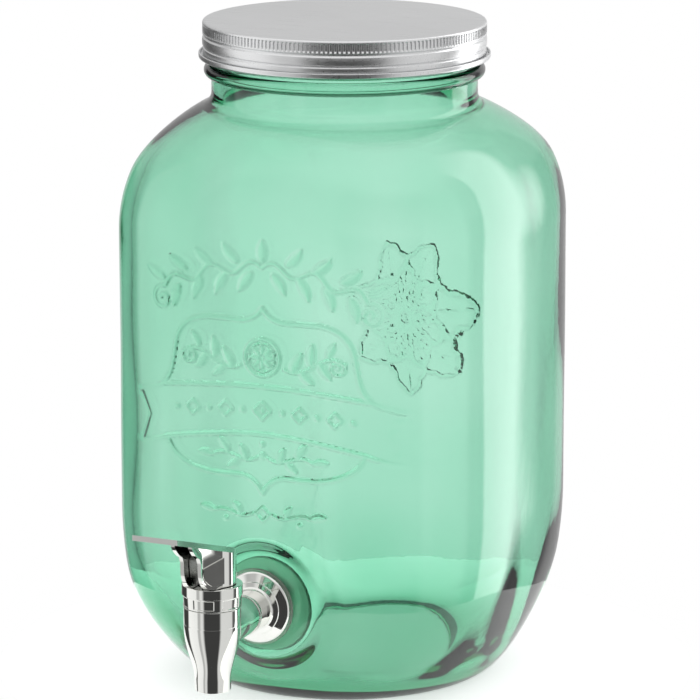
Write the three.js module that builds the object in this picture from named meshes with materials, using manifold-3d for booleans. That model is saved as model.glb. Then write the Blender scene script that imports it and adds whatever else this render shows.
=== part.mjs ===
// A glass drinks dispenser: a rounded-square pressed glass jar, a pressed metal screw lid
// and a chromed lever tap clamped through a hole low in the jar's front wall.
// Millimetres, +Z up, tap towards -Y, origin at the centre of the jar's flat underside.
import * as THREE from "three";
import { mergeVertices } from "three/addons/utils/BufferGeometryUtils.js";
import Module from "manifold-3d";

const wasm = await Module();
wasm.setup();

// ---- driving dimensions -------------------------------------------------------------

const GAP = 0.2; // clearance left between pieces that seat on each other
const ROUND_STEPS = 48; // facets round the jar and the lid
const SMALL_STEPS = 24; // facets round the tap's pieces

const JAR_HALF_WIDTH = 95;
const BASE_RADIUS = 64; // flat round underside
const BASE_THICKNESS = 9;
const WALL = 4.5;
const HEEL_HEIGHT = 85; // the walls stand upright from here
const SHOULDER_START = 215; // and lean in from here
const SHOULDER_RISE = 60;
const SHOULDER_REACH = 46.5;
const CORNER_POWER = 3.3; // 2 would be a round jar, more is squarer

const NECK_RADIUS = 62.2;
const NECK_START = 277;
const MOUTH_RADIUS = 57;
const BEAD_HEIGHT = 287; // glass ring under the lid
const BEAD_REACH = 3.5;
const BEAD_HALF_HEIGHT = 3.2;
const FINISH_RADIUS = 61.8; // root of the glass thread
const RIM_HEIGHT = 308;

const THREAD_PITCH = 5;
const THREAD_TURNS = 1.25;
const THREAD_START = 296.5; // height of the glass thread's lower end
const THREAD_HALF_ROOT = 1.3;
const THREAD_HALF_CREST = 0.7;
const THREAD_DEPTH = 1.6; // on the glass
const LID_THREAD_DEPTH = 2.3;
const LID_THREAD_TURNS = 1.1;

const LID_TOP = 310;
const LID_RADIUS = 65.8;
const LID_BAND_RADIUS = 66.3;
const LID_INNER_RADIUS = 65;
const LID_BOTTOM = 292.5;
const LID_CURL_RADIUS = 68.1;
const LID_SHEET = 0.8;
const LINER_RADIUS = 63.8;

const TAP_Y = -144; // axis of the tap's upright body
const SHANK_Z = 51.7; // axis of the pipe through the glass
const BOSS_FACE = -96; // flat glass seat for the tap
const BOSS_RADIUS = 23;
const BOSS_FLARE = 9;
const SEAT_FACE = -87.5; // flat seat inside the jar
const SEAT_RADIUS = 23;
const HOLE_RADIUS = 8.6;

const SHANK_RADIUS = 8;
const SHANK_BORE = 4;
const SHANK_END = -76.5;
const FLANGE_FACE = -98;
const FLANGE_RADIUS = 16.8;
const PIPE_RADIUS = 9.3;
const PIPE_SEAM = -114; // the shank ends and the body's pipe starts
const SOCKET_RADIUS = 7.3;
const SOCKET_END = -122.9;

const OUTLET_Z = 25; // mouth of the nozzle
const OUTLET_BORE = 6.9;
const NOZZLE_RADIUS = 8.2;
const BODY_RADIUS = 12.95;
const BODY_TOP = 64.2;
const BODY_NECK_RADIUS = 11.4;
const BODY_NECK_TOP = 70.8;
const CHAMBER_RADIUS = 9.6;
const VALVE_SEAT_Z = 43;
const VALVE_SEAT_RADIUS = 6.5;
const VALVE_SEAT_TOP = 46.5;

const BONNET_TOP = 75;
const BONNET_RADIUS = 13.8;
const BONNET_BOTTOM_RADIUS = 13.2;
const BONNET_PLATE = 2.8;
const GLAND_RADIUS = 5.5;
const GLAND_BOTTOM = 68.4;
const STEM_RADIUS = 2.5;
const STEM_HOLE = 2.8;

const LEVER_HALF_WIDTH = 11;
const LEVER_REACH = 56.8; // from the tap's axis to the front edge
const LEVER_THICKNESS = 2.4;
const LEVER_SLOPE = THREE.MathUtils.degToRad(16.8);
const LEVER_TOP_AT_AXIS = 17.5; // above the bonnet
const PIVOT_HEIGHT = 9; // above the bonnet
const LOBE_FORWARD = 11.2; // centre of the cam lobes, forward of the pivot
const LOBE_HEIGHT = 10.65;
const LOBE_RADIUS = 10.3;
const SLOT_HALF_WIDTH = 3.35;
const SLOT_BACK = 5.5;
const PIN_RADIUS = 1.5;
const PIN_HALF_LENGTH = 7;
const PIN_CLEARANCE = 0.3;

const SPRING_BOTTOM = 59.3;
const SPRING_TOP = 71.9;
const SPRING_COIL_RADIUS = 7.6;
const SPRING_WIRE_RADIUS = 0.5;
const SPRING_TURNS = 5;

// ---- materials ----------------------------------------------------------------------

const finish = (color, roughness, metalness, extra = {}) =>
  new THREE.MeshStandardMaterial({ color, roughness, metalness, ...extra });

const greenGlass = () => finish(0x8ed9b8, 0.05, 0, { transparent: true, opacity: 0.45 });
const satinMetal = () => finish(0xb9bcbe, 0.38, 1);
const chrome = () => finish(0xd9dbdb, 0.08, 1);
const steel = () => finish(0xa8abad, 0.3, 1);
const clearSilicone = () => finish(0xdfe3dd, 0.45, 0);
const blackRubber = () => finish(0x1c1c1d, 0.6, 0);
const whitePlastic = () => finish(0xe9e9e4, 0.4, 0);

// ---- geometry helpers ---------------------------------------------------------------

const point = (radius, height) => new THREE.Vector2(radius, height);

// Shares the vertices that meet and drops the triangles that shrink to nothing.
function welded(geometry) {
  geometry.deleteAttribute("normal");
  geometry.deleteAttribute("uv");
  const merged = mergeVertices(geometry, 1e-4);
  const source = merged.index.array;
  const kept = [];
  for (let i = 0; i < source.length; i += 3) {
    const [a, b, c] = [source[i], source[i + 1], source[i + 2]];
    if (a !== b && b !== c && c !== a) kept.push(a, b, c);
  }
  merged.setIndex(kept);
  merged.computeVertexNormals();
  return merged;
}

// A profile of (radius, height) points turned round the Y axis.
// It runs out along the bottom, up the outside and back in over the top.
function turnedRoundY(points, steps = SMALL_STEPS) {
  return welded(new THREE.LatheGeometry(points, steps));
}

function turnedRoundZ(points, steps = SMALL_STEPS) {
  return turnedRoundY(points, steps).rotateX(Math.PI / 2);
}

// A ring of rectangular section, standing on its bottom face.
function ringPoints(inner, outer, bottom, top) {
  return [
    point(inner, bottom),
    point(outer, bottom),
    point(outer, top),
    point(inner, top),
    point(inner, bottom),
  ];
}

const rodPoints = (radius, bottom, top) => [
  point(0, bottom),
  point(radius, bottom),
  point(radius, top),
  point(0, top),
];

function block(width, depth, height) {
  return welded(new THREE.BoxGeometry(width, depth, height));
}

function plate(shape, thickness) {
  return welded(new THREE.ExtrudeGeometry(shape, { depth: thickness, bevelEnabled: false }));
}

// A side outline, drawn in Y and Z, extruded across X and centred on X = 0.
function sidePlate(shape, width) {
  const across = new THREE.Matrix4().makeBasis(
    new THREE.Vector3(0, 1, 0),
    new THREE.Vector3(0, 0, 1),
    new THREE.Vector3(1, 0, 0),
  );
  return plate(shape, width).applyMatrix4(across).translate(-width / 2, 0, 0);
}

function solid(geometry) {
  return new wasm.Manifold(
    new wasm.Mesh({
      numProp: 3,
      vertProperties: new Float32Array(geometry.attributes.position.array),
      triVerts: new Uint32Array(geometry.index.array),
    }),
  );
}

function surface(body) {
  const mesh = body.getMesh();
  const geometry = new THREE.BufferGeometry();
  geometry.setAttribute("position", new THREE.BufferAttribute(mesh.vertProperties, 3));
  geometry.setIndex(new THREE.BufferAttribute(mesh.triVerts, 1));
  geometry.computeVertexNormals();
  return geometry;
}

class Helix extends THREE.Curve {
  constructor(radius, pitch, turns, start) {
    super();
    Object.assign(this, { radius, pitch, turns, start });
  }

  getPoint(t, target = new THREE.Vector3()) {
    const angle = 2 * Math.PI * this.turns * t;
    const height = this.start + this.pitch * this.turns * t;
    return target.set(this.radius * Math.cos(angle), this.radius * Math.sin(angle), height);
  }
}

// A section swept along a helix; its +X side faces the helix's axis.
function sweptRound(section, helix, stepsPerTurn) {
  const steps = Math.round(helix.turns * stepsPerTurn);
  return welded(new THREE.ExtrudeGeometry(section, { steps, extrudePath: helix }));
}

function part(name, geometry, material, position = [0, 0, 0]) {
  const mesh = new THREE.Mesh(geometry, material);
  mesh.name = name;
  mesh.position.set(...position);
  return mesh;
}

// ---- jar ----------------------------------------------------------------------------

// How square the jar is at a height: round at the foot and the neck.
function cornerPower(height) {
  const rise = THREE.MathUtils.smoothstep(height, 0, HEEL_HEIGHT * 0.66);
  const fall = THREE.MathUtils.smoothstep(height, SHOULDER_START + 28, SHOULDER_START + SHOULDER_RISE);
  return 2 + (CORNER_POWER - 2) * rise * (1 - fall);
}

// Pushes a round body's surface out to the jar's rounded square.
function squared(geometry) {
  const position = geometry.attributes.position;
  for (let i = 0; i < position.count; i += 1) {
    const x = position.getX(i);
    const y = position.getY(i);
    const power = cornerPower(position.getZ(i));
    const angle = Math.atan2(y, x);
    const spread = Math.abs(Math.cos(angle)) ** power + Math.abs(Math.sin(angle)) ** power;
    const scale = spread ** (-1 / power);
    position.setXY(i, x * scale, y * scale);
  }
  geometry.computeVertexNormals();
  return geometry;
}

function jarOutside() {
  const heelReach = JAR_HALF_WIDTH - BASE_RADIUS;
  const shoulderCentre = JAR_HALF_WIDTH - SHOULDER_REACH;
  const shoulderEnd = Math.PI * 0.37;
  const path = new THREE.Path();
  path.moveTo(0, 0);
  path.lineTo(BASE_RADIUS, 0);
  path.absellipse(BASE_RADIUS, HEEL_HEIGHT, heelReach, HEEL_HEIGHT, -Math.PI / 2, 0);
  path.absellipse(shoulderCentre, SHOULDER_START, SHOULDER_REACH, SHOULDER_RISE, 0, shoulderEnd);
  path.quadraticCurveTo(NECK_RADIUS, NECK_START - 5, NECK_RADIUS, NECK_START);
  path.absellipse(NECK_RADIUS, BEAD_HEIGHT, BEAD_REACH, BEAD_HALF_HEIGHT, -Math.PI / 2, Math.PI / 2);
  path.lineTo(FINISH_RADIUS, BEAD_HEIGHT + BEAD_HALF_HEIGHT + 0.8);
  path.lineTo(FINISH_RADIUS, RIM_HEIGHT - 1.6);
  path.quadraticCurveTo(FINISH_RADIUS, RIM_HEIGHT, FINISH_RADIUS - 1.6, RIM_HEIGHT);
  path.lineTo(0, RIM_HEIGHT);
  return squared(turnedRoundZ(path.getPoints(3), ROUND_STEPS));
}

function jarHollow() {
  const halfWidth = JAR_HALF_WIDTH - WALL;
  const floorRadius = BASE_RADIUS - WALL;
  const wallFoot = HEEL_HEIGHT - BASE_THICKNESS;
  const shoulderCentre = halfWidth - SHOULDER_REACH;
  const shoulderRise = SHOULDER_RISE - WALL;
  const shoulderEnd = Math.acos((MOUTH_RADIUS - shoulderCentre) / SHOULDER_REACH);
  const path = new THREE.Path();
  path.moveTo(0, BASE_THICKNESS);
  path.lineTo(floorRadius, BASE_THICKNESS);
  path.absellipse(floorRadius, HEEL_HEIGHT, halfWidth - floorRadius, wallFoot, -Math.PI / 2, 0);
  path.absellipse(shoulderCentre, SHOULDER_START, SHOULDER_REACH, shoulderRise, 0, shoulderEnd);
  path.lineTo(MOUTH_RADIUS, RIM_HEIGHT - 1.4);
  path.lineTo(MOUTH_RADIUS + 1.4, RIM_HEIGHT);
  path.lineTo(MOUTH_RADIUS + 1.4, RIM_HEIGHT + 2);
  path.lineTo(0, RIM_HEIGHT + 2);
  const hollow = solid(squared(turnedRoundZ(path.getPoints(3), ROUND_STEPS)));
  const seatFront = alongShank(rodPoints(SEAT_RADIUS, BOSS_FACE - 5, SEAT_FACE));
  const seatBack = alongShank(rodPoints(SEAT_RADIUS, SEAT_FACE, SHANK_END));
  return hollow.subtract(seatFront).add(seatBack);
}

// A body turned round the line of the tap's pipe.
function alongShank(points) {
  return solid(turnedRoundY(points).translate(0, 0, SHANK_Z));
}

function glassThread() {
  const section = new THREE.Shape([
    point(0.6, -THREAD_HALF_ROOT),
    point(0.6, THREAD_HALF_ROOT),
    point(-THREAD_DEPTH, THREAD_HALF_CREST),
    point(-THREAD_DEPTH, -THREAD_HALF_CREST),
  ]);
  const line = new Helix(FINISH_RADIUS, THREAD_PITCH, THREAD_TURNS, THREAD_START);
  return solid(sweptRound(section, line, 32));
}

function glassJar() {
  const boss = alongShank([
    point(0, BOSS_FACE),
    point(BOSS_RADIUS, BOSS_FACE),
    point(BOSS_RADIUS + BOSS_FLARE, BOSS_FACE + 10),
    point(BOSS_RADIUS + BOSS_FLARE, SHANK_END),
    point(0, SHANK_END),
  ]);
  const hole = alongShank(rodPoints(HOLE_RADIUS, BOSS_FACE - 5, SHANK_END));
  const body = solid(jarOutside()).add(boss).add(glassThread());
  return part("glass_jar", surface(body.subtract(jarHollow()).subtract(hole)), greenGlass());
}

// ---- lid ----------------------------------------------------------------------------

function lidProfile() {
  const path = new THREE.Path();
  const curlHeight = LID_BOTTOM + 1.9;
  path.moveTo(0, LID_TOP - LID_SHEET);
  path.lineTo(LID_INNER_RADIUS - 0.6, LID_TOP - LID_SHEET);
  path.lineTo(LID_INNER_RADIUS, LID_TOP - LID_SHEET - 0.6);
  path.lineTo(LID_INNER_RADIUS, LID_BOTTOM + 0.8);
  path.lineTo(LID_INNER_RADIUS + 0.8, LID_BOTTOM);
  path.quadraticCurveTo(LID_CURL_RADIUS, LID_BOTTOM, LID_CURL_RADIUS, curlHeight);
  path.quadraticCurveTo(LID_CURL_RADIUS, curlHeight + 1.7, LID_BAND_RADIUS, curlHeight + 2);
  path.lineTo(LID_BAND_RADIUS - 0.7, curlHeight + 2.7);
  path.lineTo(LID_BAND_RADIUS, curlHeight + 3.6);
  path.lineTo(LID_BAND_RADIUS, curlHeight + 7.4);
  path.lineTo(LID_BAND_RADIUS - 0.8, curlHeight + 8.6);
  path.lineTo(LID_BAND_RADIUS, curlHeight + 10);
  path.lineTo(LID_BAND_RADIUS, LID_TOP - 1.5);
  path.quadraticCurveTo(LID_RADIUS, LID_TOP, LID_RADIUS - 1.5, LID_TOP);
  path.lineTo(0, LID_TOP);
  return path.getPoints(3);
}

function lidThread() {
  const section = new THREE.Shape([
    point(-0.4, -THREAD_HALF_ROOT),
    point(LID_THREAD_DEPTH, -THREAD_HALF_CREST),
    point(LID_THREAD_DEPTH, THREAD_HALF_CREST),
    point(-0.4, THREAD_HALF_ROOT),
  ]);
  const start = THREAD_START - THREAD_PITCH / 2;
  const line = new Helix(LID_INNER_RADIUS, THREAD_PITCH, LID_THREAD_TURNS, start);
  return solid(sweptRound(section, line, 32));
}

function lidCap() {
  const cap = solid(turnedRoundZ(lidProfile(), ROUND_STEPS));
  return part("lid_cap", surface(cap.add(lidThread())), satinMetal());
}

function lidLiner() {
  const top = LID_TOP - LID_SHEET - GAP;
  const points = rodPoints(LINER_RADIUS, RIM_HEIGHT + GAP, top);
  return part("lid_liner", turnedRoundZ(points, ROUND_STEPS), whitePlastic());
}

// ---- pieces on the pipe through the glass --------------------------------------------

function tapShank() {
  const nose = SOCKET_RADIUS - GAP * 1.5;
  const points = [
    point(SHANK_BORE, SOCKET_END + 1.6),
    point(nose, SOCKET_END + 1.6),
    point(nose, PIPE_SEAM + GAP),
    point(PIPE_RADIUS + 0.4, PIPE_SEAM + GAP),
    point(PIPE_RADIUS + 0.4, PIPE_SEAM + 1.2),
    point(PIPE_RADIUS, PIPE_SEAM + 1.4),
    point(PIPE_RADIUS, FLANGE_FACE - 3.4),
    point(PIPE_RADIUS + 0.7, FLANGE_FACE - 2.8),
    point(11.8, FLANGE_FACE - 2.5),
    point(FLANGE_RADIUS - 0.7, FLANGE_FACE - 1.3),
    point(FLANGE_RADIUS, FLANGE_FACE - 0.8),
    point(FLANGE_RADIUS, FLANGE_FACE),
    point(SHANK_RADIUS, FLANGE_FACE),
    point(SHANK_RADIUS, SHANK_END - 0.8),
    point(SHANK_RADIUS - 0.8, SHANK_END),
    point(SHANK_BORE, SHANK_END),
    point(SHANK_BORE, SOCKET_END + 1.6),
  ];
  return part("tap_shank", turnedRoundY(points, 32), chrome(), [0, 0, SHANK_Z]);
}

function shankORing() {
  const ring = welded(new THREE.TorusGeometry(6, 0.6, 6, SMALL_STEPS)).rotateX(Math.PI / 2);
  return part("shank_o_ring", ring, blackRubber(), [0, SOCKET_END + 0.8, SHANK_Z]);
}

// A flat ring on the shank that starts at one face and is as thick as stated.
function shankRing(name, outer, start, thickness, material) {
  const points = ringPoints(SHANK_RADIUS + 0.3, outer, start, start + thickness);
  return part(name, turnedRoundY(points, 32), material, [0, 0, SHANK_Z]);
}

function shankRings() {
  const outerThickness = BOSS_FACE - FLANGE_FACE - 2 * GAP;
  return [
    shankRing("outer_gasket", 18, FLANGE_FACE + GAP, outerThickness, clearSilicone()),
    shankRing("inner_gasket", 21.5, SEAT_FACE + GAP, 2, clearSilicone()),
    shankRing("clamp_washer", 14, SEAT_FACE + 2 + 2 * GAP, 1, steel()),
  ];
}

function lockNut() {
  const start = SEAT_FACE + 3 + 3 * GAP;
  const hexagon = turnedRoundY(
    [
      point(0, start),
      point(13.2, start),
      point(13.8, start + 0.5),
      point(13.8, start + 5),
      point(13.2, start + 5.5),
      point(0, start + 5.5),
    ],
    6,
  );
  const bore = turnedRoundY(rodPoints(SHANK_RADIUS + 0.3, start - 1, start + 7));
  const nut = surface(solid(hexagon).subtract(solid(bore)));
  return part("lock_nut", nut, whitePlastic(), [0, 0, SHANK_Z]);
}

// ---- tap body and valve --------------------------------------------------------------

function tapBody() {
  const path = new THREE.Path();
  path.moveTo(0, OUTLET_Z);
  path.lineTo(NOZZLE_RADIUS - 0.3, OUTLET_Z);
  path.lineTo(NOZZLE_RADIUS, OUTLET_Z + 0.4);
  path.lineTo(NOZZLE_RADIUS + 0.1, OUTLET_Z + 6);
  path.bezierCurveTo(8.5, OUTLET_Z + 13, 12.9, OUTLET_Z + 19, BODY_RADIUS, OUTLET_Z + 32);
  path.lineTo(BODY_RADIUS, BODY_TOP);
  path.lineTo(BODY_NECK_RADIUS, BODY_TOP);
  path.lineTo(BODY_NECK_RADIUS, BODY_NECK_TOP);
  path.lineTo(0, BODY_NECK_TOP);
  const outside = solid(turnedRoundZ(path.getPoints(7), 32));
  const inside = solid(
    turnedRoundZ([
      point(0, OUTLET_Z - 1),
      point(OUTLET_BORE, OUTLET_Z - 1),
      point(OUTLET_BORE, VALVE_SEAT_Z - 3),
      point(VALVE_SEAT_RADIUS, VALVE_SEAT_Z - 2),
      point(VALVE_SEAT_RADIUS, VALVE_SEAT_Z),
      point(CHAMBER_RADIUS, VALVE_SEAT_TOP),
      point(CHAMBER_RADIUS, BODY_NECK_TOP + 1),
      point(0, BODY_NECK_TOP + 1),
    ]),
  );
  const pipe = alongTapPipe(rodPoints(PIPE_RADIUS, 0, PIPE_SEAM - TAP_Y));
  const socketDepth = SOCKET_END - TAP_Y;
  const bore = alongTapPipe(rodPoints(SHANK_BORE, 0, socketDepth + 1));
  const socket = alongTapPipe(rodPoints(SOCKET_RADIUS, socketDepth, PIPE_SEAM - TAP_Y + 1));
  const body = outside.add(pipe).subtract(inside).subtract(bore).subtract(socket);
  return part("tap_body", surface(body), chrome(), [0, TAP_Y, 0]);
}

// A body turned round the pipe's line, measured from the tap's own axis.
function alongTapPipe(points) {
  return solid(turnedRoundY(points).translate(0, 0, SHANK_Z));
}

function bonnet() {
  const plateBottom = BONNET_TOP - BONNET_PLATE;
  const skirtBottom = BODY_TOP + 0.3;
  const skirtInner = BODY_NECK_RADIUS + 0.4;
  const points = [
    point(STEM_HOLE, GLAND_BOTTOM + 2.5),
    point(GLAND_RADIUS - 0.8, GLAND_BOTTOM + 2.5),
    point(GLAND_RADIUS - 0.8, GLAND_BOTTOM),
    point(GLAND_RADIUS, GLAND_BOTTOM),
    point(GLAND_RADIUS, plateBottom),
    point(skirtInner, plateBottom),
    point(skirtInner, skirtBottom),
    point(BONNET_BOTTOM_RADIUS, skirtBottom),
    point(BONNET_BOTTOM_RADIUS + 0.3, BONNET_TOP - 4.8),
    point(BONNET_RADIUS, BONNET_TOP - 4.8),
    point(BONNET_RADIUS, BONNET_TOP - 0.4),
    point(BONNET_RADIUS - 0.4, BONNET_TOP),
    point(9, BONNET_TOP),
    point(8.6, BONNET_TOP - 0.8),
    point(STEM_HOLE, BONNET_TOP - 0.8),
    point(STEM_HOLE, GLAND_BOTTOM + 2.5),
  ];
  return part("bonnet", turnedRoundZ(points, 32), chrome(), [0, TAP_Y, 0]);
}

function bonnetGasket() {
  const bottom = BODY_NECK_TOP + GAP;
  const top = BONNET_TOP - BONNET_PLATE - GAP;
  const points = ringPoints(CHAMBER_RADIUS + 0.3, BODY_NECK_RADIUS - 0.1, bottom, top);
  return part("bonnet_gasket", turnedRoundZ(points), blackRubber(), [0, TAP_Y, 0]);
}

function valveStem() {
  const pivot = BONNET_TOP + PIVOT_HEIGHT;
  const rod = turnedRoundZ([
    point(0, VALVE_SEAT_Z),
    point(4.4, VALVE_SEAT_Z),
    point(4.4, VALVE_SEAT_Z + 1.4),
    point(STEM_RADIUS, VALVE_SEAT_Z + 1.4),
    point(STEM_RADIUS, 49.2),
    point(5, 49.2),
    point(5, 50.4),
    point(STEM_RADIUS, 50.4),
    point(STEM_RADIUS, 56.2),
    point(5.2, 56.2),
    point(5.2, 57.4),
    point(STEM_RADIUS, 57.4),
    point(STEM_RADIUS, pivot),
    point(0, pivot),
  ]);
  const tongue = sidePlate(
    new THREE.Shape()
      .moveTo(-STEM_RADIUS, BONNET_TOP + 2)
      .lineTo(STEM_RADIUS, BONNET_TOP + 2)
      .lineTo(3.4, pivot)
      .absarc(0, pivot, 3.4, 0, Math.PI),
    2 * (SLOT_HALF_WIDTH - 0.35),
  );
  const hole = pivotRod(PIN_RADIUS + PIN_CLEARANCE, 10).translate(0, 0, BONNET_TOP);
  const stem = solid(rod).add(solid(tongue)).subtract(solid(hole));
  return part("valve_stem", surface(stem), steel(), [0, TAP_Y, 0]);
}

// A rod across X on the pivot's line, measured from the top of the bonnet.
function pivotRod(radius, halfLength) {
  const rod = turnedRoundY(rodPoints(radius, -halfLength, halfLength), 16);
  return rod.rotateZ(Math.PI / 2).translate(0, 0, PIVOT_HEIGHT);
}

function valveSeal() {
  const inner = STEM_RADIUS + 0.3;
  const points = [
    point(inner, VALVE_SEAT_Z + 1.7),
    point(7.5, VALVE_SEAT_Z + 1.7),
    point(8.9, VALVE_SEAT_Z + 3.3),
    point(8.9, VALVE_SEAT_Z + 4.4),
    point(6.4, VALVE_SEAT_Z + 5.9),
    point(inner, VALVE_SEAT_Z + 5.9),
    point(inner, VALVE_SEAT_Z + 1.7),
  ];
  return part("valve_seal", turnedRoundZ(points), clearSilicone(), [0, TAP_Y, 0]);
}

function stemORing() {
  const ring = welded(new THREE.TorusGeometry(3.7, 0.8, 6, SMALL_STEPS));
  return part("stem_o_ring", ring, blackRubber(), [0, TAP_Y, GLAND_BOTTOM + 1.2]);
}

function springSeat() {
  const points = ringPoints(STEM_RADIUS + 0.3, 9, 57.6, SPRING_BOTTOM - GAP);
  return part("spring_seat", turnedRoundZ(points), whitePlastic(), [0, TAP_Y, 0]);
}

function returnSpring() {
  const wire = new THREE.Shape().absarc(0, 0, SPRING_WIRE_RADIUS, 0, 2 * Math.PI);
  const rise = SPRING_TOP - SPRING_BOTTOM - 2 * SPRING_WIRE_RADIUS - 0.2;
  const start = SPRING_BOTTOM + SPRING_WIRE_RADIUS + 0.1;
  const line = new Helix(SPRING_COIL_RADIUS, rise / SPRING_TURNS, SPRING_TURNS, start);
  const steps = SPRING_TURNS * 12;
  const coil = new THREE.ExtrudeGeometry(wire, { steps, extrudePath: line, curveSegments: 4 });
  return part("return_spring", welded(coil), steel(), [0, TAP_Y, 0]);
}

// ---- lever ---------------------------------------------------------------------------

// Everything below a plane that is parallel to the lever's top and this far under it.
function belowLeverTop(depth) {
  const size = 200;
  const body = block(size, size, size).translate(0, 0, -size / 2 - depth);
  return solid(body.rotateX(-LEVER_SLOPE).translate(0, 0, LEVER_TOP_AT_AXIS));
}

function leverOutline() {
  return new THREE.Shape()
    .moveTo(-LEVER_HALF_WIDTH, -LEVER_REACH)
    .lineTo(LEVER_HALF_WIDTH, -LEVER_REACH)
    .absarc(0, 0, LEVER_HALF_WIDTH, 0, Math.PI);
}

// The two cheeks under the paddle, which taper forwards and end in round cam lobes.
function leverCheeks() {
  const side = new THREE.Shape()
    .moveTo(0, LOBE_HEIGHT - LOBE_RADIUS)
    .lineTo(0, LEVER_TOP_AT_AXIS)
    .lineTo(-30.7, LEVER_TOP_AT_AXIS + 6)
    .quadraticCurveTo(-27.5, 19, -23, 17)
    .lineTo(-21.4, 14)
    .absarc(-LOBE_FORWARD, LOBE_HEIGHT, LOBE_RADIUS, Math.PI, 1.5 * Math.PI);
  const above = new THREE.Shape([
    point(-9.2, 0),
    point(-8.6, -6.9),
    point(-5.2, -20),
    point(-5.2, -32),
    point(5.2, -32),
    point(5.2, -20),
    point(8.6, -6.9),
    point(9.2, 0),
  ]);
  return solid(sidePlate(side, 22)).intersect(solid(plate(above, 40)));
}

function lever() {
  const bottom = LOBE_HEIGHT - LOBE_RADIUS;
  const outline = solid(plate(leverOutline(), 60));
  const paddle = outline.intersect(belowLeverTop(0)).subtract(belowLeverTop(LEVER_THICKNESS));
  const hub = solid(turnedRoundZ(rodPoints(LEVER_HALF_WIDTH, bottom, 30), 32));
  const under = hub.add(leverCheeks()).intersect(belowLeverTop(LEVER_THICKNESS / 2));
  const slotLength = 40 + SLOT_BACK;
  const slot = block(2 * SLOT_HALF_WIDTH, slotLength, 60).translate(0, SLOT_BACK - slotLength / 2, 0);
  const slotted = under.subtract(solid(slot).intersect(belowLeverTop(LEVER_THICKNESS)));
  const pinHole = solid(pivotRod(PIN_RADIUS + PIN_CLEARANCE, PIN_HALF_LENGTH + PIN_CLEARANCE));
  const body = paddle.add(slotted).subtract(pinHole);
  return part("lever", surface(body), chrome(), [0, TAP_Y, BONNET_TOP]);
}

function leverPin() {
  const pin = pivotRod(PIN_RADIUS, PIN_HALF_LENGTH);
  return part("lever_pin", pin, steel(), [0, TAP_Y, BONNET_TOP]);
}

// ---- assembly ------------------------------------------------------------------------

const dispenser = new THREE.Group();
dispenser.add(
  glassJar(),
  lidCap(),
  lidLiner(),
  tapShank(),
  shankORing(),
  ...shankRings(),
  lockNut(),
  tapBody(),
  bonnet(),
  bonnetGasket(),
  valveStem(),
  valveSeal(),
  stemORing(),
  springSeat(),
  returnSpring(),
  lever(),
  leverPin(),
);

export default dispenser;
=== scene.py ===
"""Looks for a glass drinks dispenser: pressed green glass, a metal screw lid and a chromed tap.

Lengths are in millimetres until a mesh is made, and every mesh is in the frame of the CAD model:
+Z up, the tap towards -Y, the origin at the centre of the jar's underside.
"""

import math

import bpy
import numpy as np
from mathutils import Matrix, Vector


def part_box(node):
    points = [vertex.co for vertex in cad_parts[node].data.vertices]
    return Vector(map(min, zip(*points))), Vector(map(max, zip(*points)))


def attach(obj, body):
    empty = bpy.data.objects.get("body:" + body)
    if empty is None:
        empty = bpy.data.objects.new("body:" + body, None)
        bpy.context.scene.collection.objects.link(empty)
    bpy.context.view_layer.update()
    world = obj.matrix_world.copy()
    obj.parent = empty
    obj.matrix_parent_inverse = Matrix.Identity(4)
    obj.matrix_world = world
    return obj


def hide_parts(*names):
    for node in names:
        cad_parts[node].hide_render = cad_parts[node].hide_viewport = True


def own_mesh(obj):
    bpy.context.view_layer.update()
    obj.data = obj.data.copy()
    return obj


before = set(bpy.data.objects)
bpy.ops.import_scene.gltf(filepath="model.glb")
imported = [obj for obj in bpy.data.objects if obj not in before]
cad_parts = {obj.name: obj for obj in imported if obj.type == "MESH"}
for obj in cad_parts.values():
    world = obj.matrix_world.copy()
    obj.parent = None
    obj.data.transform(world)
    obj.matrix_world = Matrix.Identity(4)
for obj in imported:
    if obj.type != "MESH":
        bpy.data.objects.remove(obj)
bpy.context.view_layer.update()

MM = 0.001


def extent(node):
    """A CAD node's lowest and highest corners, in millimetres."""
    low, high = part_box(node)
    return np.array(low) / MM, np.array(high) / MM


# ---- sizes ----

JAR_HALF_WIDTH = extent("glass_jar")[1][0]
BASE_RADIUS = 64.0
BASE_THICKNESS = 9.0
PUSH_UP = 3.0  # how far the underside is domed inside its resting ring
WALL = 4.5
HEEL_HEIGHT = 85.0
SHOULDER_START = 215.0
SHOULDER_RISE = 60.0
SHOULDER_REACH = 46.5
CORNER_POWER = 3.3  # 2 would be a round jar, more is squarer
NECK_RADIUS = 62.2
NECK_START = 277.0
MOUTH_RADIUS = 57.0
BEAD_HEIGHT = 287.0
BEAD_REACH = 3.5
BEAD_HALF_HEIGHT = 3.2
FINISH_RADIUS = 61.8
RIM_HEIGHT = 308.0
THREAD_START = 296.5
THREAD_PITCH = 5.0
THREAD_TURNS = 1.25
THREAD_DEPTH = 1.6

TAP_Y = sum(corner[1] for corner in extent("bonnet")) / 2
SHANK_Z = sum(corner[2] for corner in extent("tap_shank")) / 2
BONNET_TOP = extent("bonnet")[1][2]
OUTLET_Z = extent("tap_body")[0][2]
BOSS_FACE = 96.0  # forward of the jar's axis, as is the next
SEAT_FACE = 87.5
BOSS_RADIUS = 23.0
BOSS_SLOPE = 1.11  # how far the boss's side falls back for each millimetre outwards
BOSS_SPREAD = 18.0  # how far past the boss's face its side may reshape the wall
SEAT_RADIUS = 23.0
HOLE_RADIUS = 8.6
RING_BORE = 8.3  # inside radius of the washers, gaskets and nut
PIPE_RADIUS = 9.3
PIPE_BORE = 4.0

OUTER_RIPPLE = 0.14  # depths of the waves in the glass
INNER_RIPPLE = 0.45
FOOT_RIPPLE = 0.9  # added to the inner waves low down

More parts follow.
